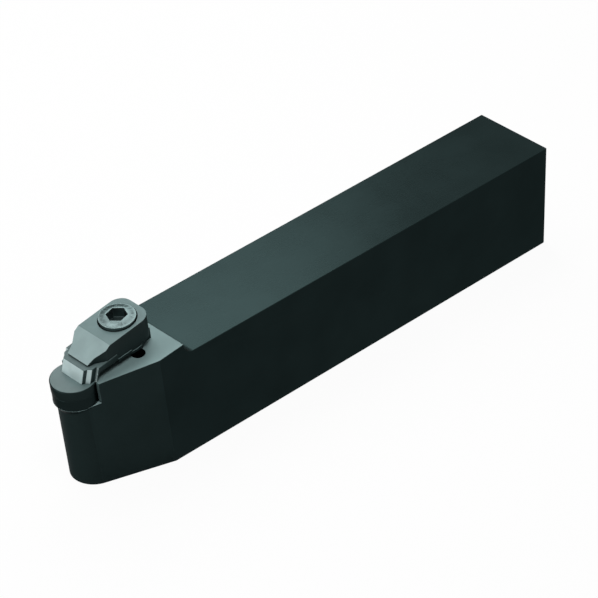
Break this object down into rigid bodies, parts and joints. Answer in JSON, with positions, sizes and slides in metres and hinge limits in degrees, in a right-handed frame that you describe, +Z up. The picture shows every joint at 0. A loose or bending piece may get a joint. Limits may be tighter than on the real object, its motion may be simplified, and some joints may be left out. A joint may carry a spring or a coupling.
{
  "type": "turning tool holder",
  "caption": "Neutral turning tool holder with a square shank, a blunt tapered nose, a round ceramic insert on a shim, a loose chip breaker and a top clamp",
  "frame": {"origin": "middle of the bounding box on the underside of the shank, which is the face that seats in the tool post", "axes": "X runs along the shank with the nose and the insert toward -X and the shank's end face at +X, Y runs across the shank, Z is up from the underside, and the cutting tip is at the height of the shank's top face"},
  "size_m": [0.17, 0.025, 0.0448],
  "materials": {
    "blackened_steel": "black oxide, semi-matt, machined and then blackened",
    "clamp_steel": "black oxide over fine ground faces, satin",
    "screw_steel": "blackened and oiled, slight sheen",
    "ceramic": "ground dark grey ceramic, fine satin",
    "carbide": "ground carbide, satin",
    "spring_steel": "drawn spring wire"
  },
  "bodies": {
    "holder": {"holder_body": "blackened_steel", "shim": "carbide", "shim_screw": "screw_steel", "insert": "ceramic", "chip_breaker": "carbide", "lifting_spring": "spring_steel"},
    "clamp": {"clamp": "clamp_steel"},
    "screw": {"clamp_screw": "screw_steel"}
  },
  "joints": [
    {"name": "clamp_lift", "type": "slide", "parent": "holder", "child": "clamp", "axis": [-0.1045, 0, 0.9945], "range_m": [0, 0.0025], "deforming": ["lifting_spring"]},
    {"name": "screw_turn", "type": "hinge", "parent": "clamp", "child": "screw", "pos_m": [-0.06228, 0, 0.03439], "axis": [-0.1045, 0, 0.9945], "range_deg": [0, 1080]}
  ],
  "couplings": [
    {"joint": "screw_turn", "follows": "clamp_lift", "rad_per_m": 6283.2}
  ]
}
